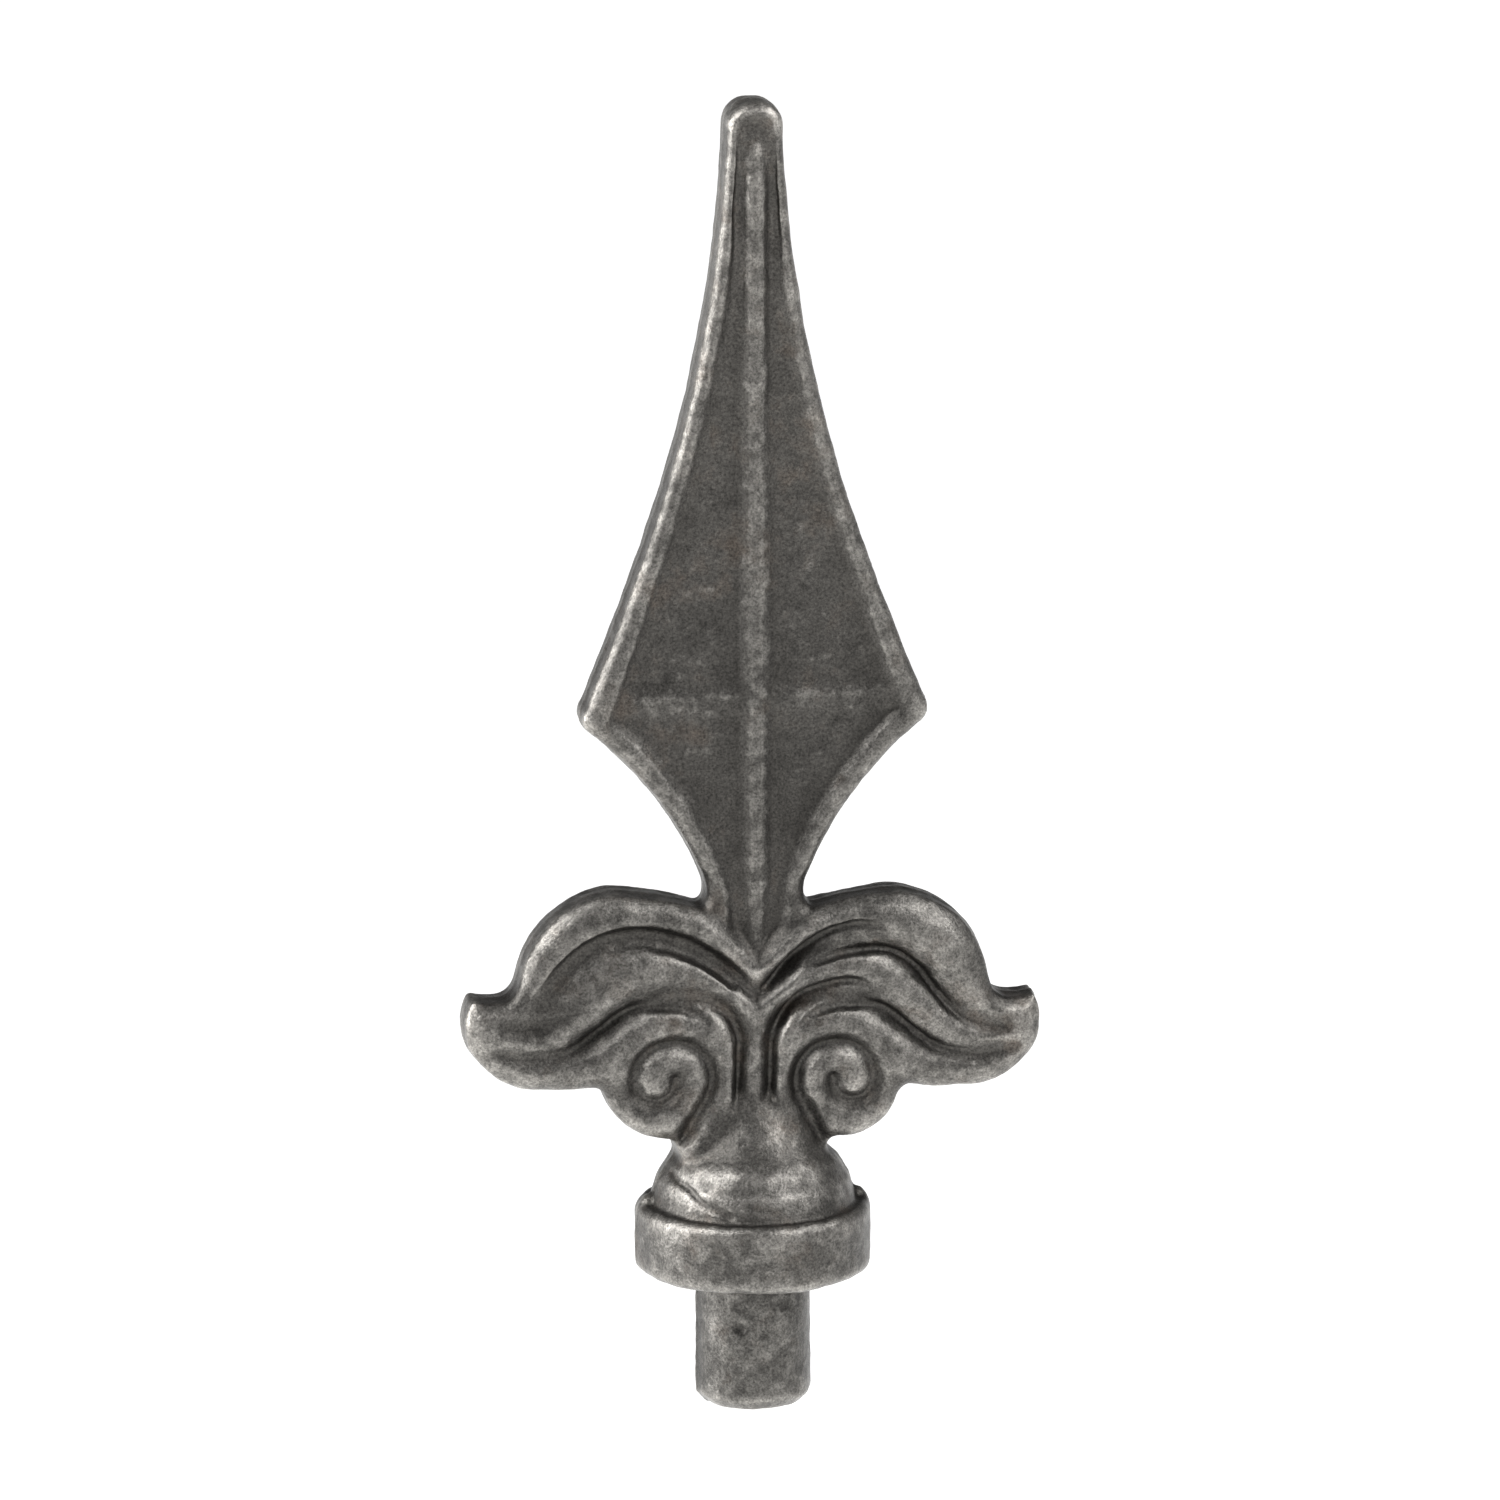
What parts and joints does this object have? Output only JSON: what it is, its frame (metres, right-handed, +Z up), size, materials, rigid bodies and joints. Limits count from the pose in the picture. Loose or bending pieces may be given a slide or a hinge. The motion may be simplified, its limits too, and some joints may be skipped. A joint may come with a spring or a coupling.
{
  "type": "railing spear finial",
  "caption": "Cast iron spear finial with leaf scrolls, a bulb, a collar and a round spigot that seats in the end of a railing tube or post.",
  "frame": {"origin": "on the spigot's axis, in the plane of the collar's underside, where the collar seats on the rail", "axes": "+Z up along the spigot's axis to the spear's tip, -Y towards the front, +X towards the wing on the right as seen from the front"},
  "size_m": [0.0616, 0.025, 0.1405],
  "materials": {
    "casting": "raw as cast, tumbled, fine sand grain"
  },
  "bodies": {
    "root": {"spear_finial": "casting"}
  },
  "joints": []
}
